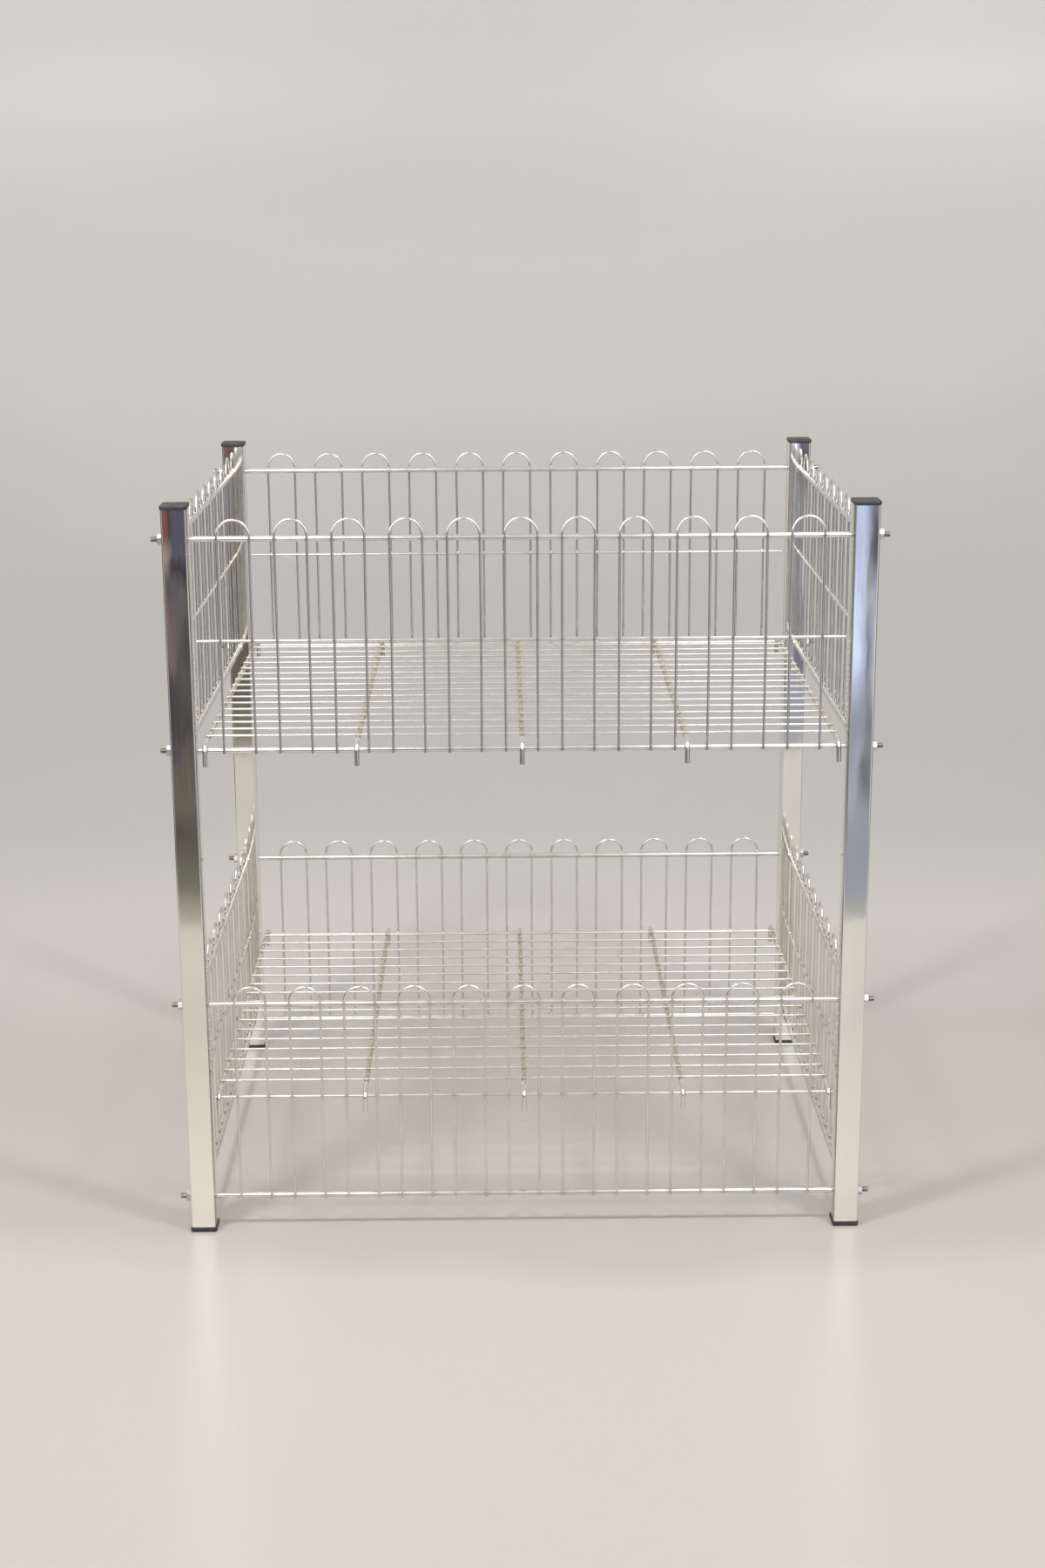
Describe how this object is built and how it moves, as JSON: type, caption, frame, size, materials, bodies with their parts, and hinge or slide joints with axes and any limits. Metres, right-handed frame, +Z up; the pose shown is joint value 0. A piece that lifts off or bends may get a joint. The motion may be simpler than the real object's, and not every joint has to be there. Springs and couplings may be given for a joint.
{
  "type": "wire basket stand",
  "caption": "Open stand of square chrome tube posts with hooped wire panels round each tier and hook-on wire shelves that lift out.",
  "frame": {"origin": "on the floor under the middle of the stand", "axes": "+Z up, -Y towards the long front side, +X to the right as seen from the front"},
  "size_m": [0.723, 0.5566, 0.765],
  "materials": {
    "chrome_tube": "polished chrome plate",
    "chrome_wire": "bright plated wire, dull at the welds",
    "shelf_wire": "bright plated wire, slightly worn",
    "zinc_nut": "zinc plated",
    "black_plastic": "moulded, matt"
  },
  "bodies": {
    "frame": {"post_front_left": "chrome_tube", "post_front_right": "chrome_tube", "post_rear_left": "chrome_tube", "post_rear_right": "chrome_tube", "cap_front_left": "black_plastic", "cap_front_right": "black_plastic", "cap_rear_left": "black_plastic", "cap_rear_right": "black_plastic", "foot_front_left": "black_plastic", "foot_front_right": "black_plastic", "foot_rear_left": "black_plastic", "foot_rear_right": "black_plastic", "lower_front_panel": "chrome_wire", "lower_rear_panel": "chrome_wire", "lower_left_panel": "chrome_wire", "lower_right_panel": "chrome_wire", "upper_front_panel": "chrome_wire", "upper_rear_panel": "chrome_wire", "upper_left_panel": "chrome_wire", "upper_right_panel": "chrome_wire", "nut_lower_bottom_front_left": "zinc_nut", "nut_lower_bottom_front_right": "zinc_nut", "nut_lower_bottom_rear_left": "zinc_nut", "nut_lower_bottom_rear_right": "zinc_nut", "nut_lower_top_front_left": "zinc_nut", "nut_lower_top_front_right": "zinc_nut", "nut_lower_top_rear_left": "zinc_nut", "nut_lower_top_rear_right": "zinc_nut", "nut_upper_bottom_front_left": "zinc_nut", "nut_upper_bottom_front_right": "zinc_nut", "nut_upper_bottom_rear_left": "zinc_nut", "nut_upper_bottom_rear_right": "zinc_nut", "nut_upper_top_front_left": "zinc_nut", "nut_upper_top_front_right": "zinc_nut", "nut_upper_top_rear_left": "zinc_nut", "nut_upper_top_rear_right": "zinc_nut"},
    "upper_shelf": {"upper_shelf": "shelf_wire"},
    "lower_shelf": {"lower_shelf": "shelf_wire"}
  },
  "joints": [
    {"name": "upper_shelf_lift", "type": "slide", "parent": "frame", "child": "upper_shelf", "axis": [0, 0, 1], "range_m": [0, 0.101]},
    {"name": "lower_shelf_lift", "type": "slide", "parent": "frame", "child": "lower_shelf", "axis": [0, 0, 1], "range_m": [0, 0.091]}
  ]
}
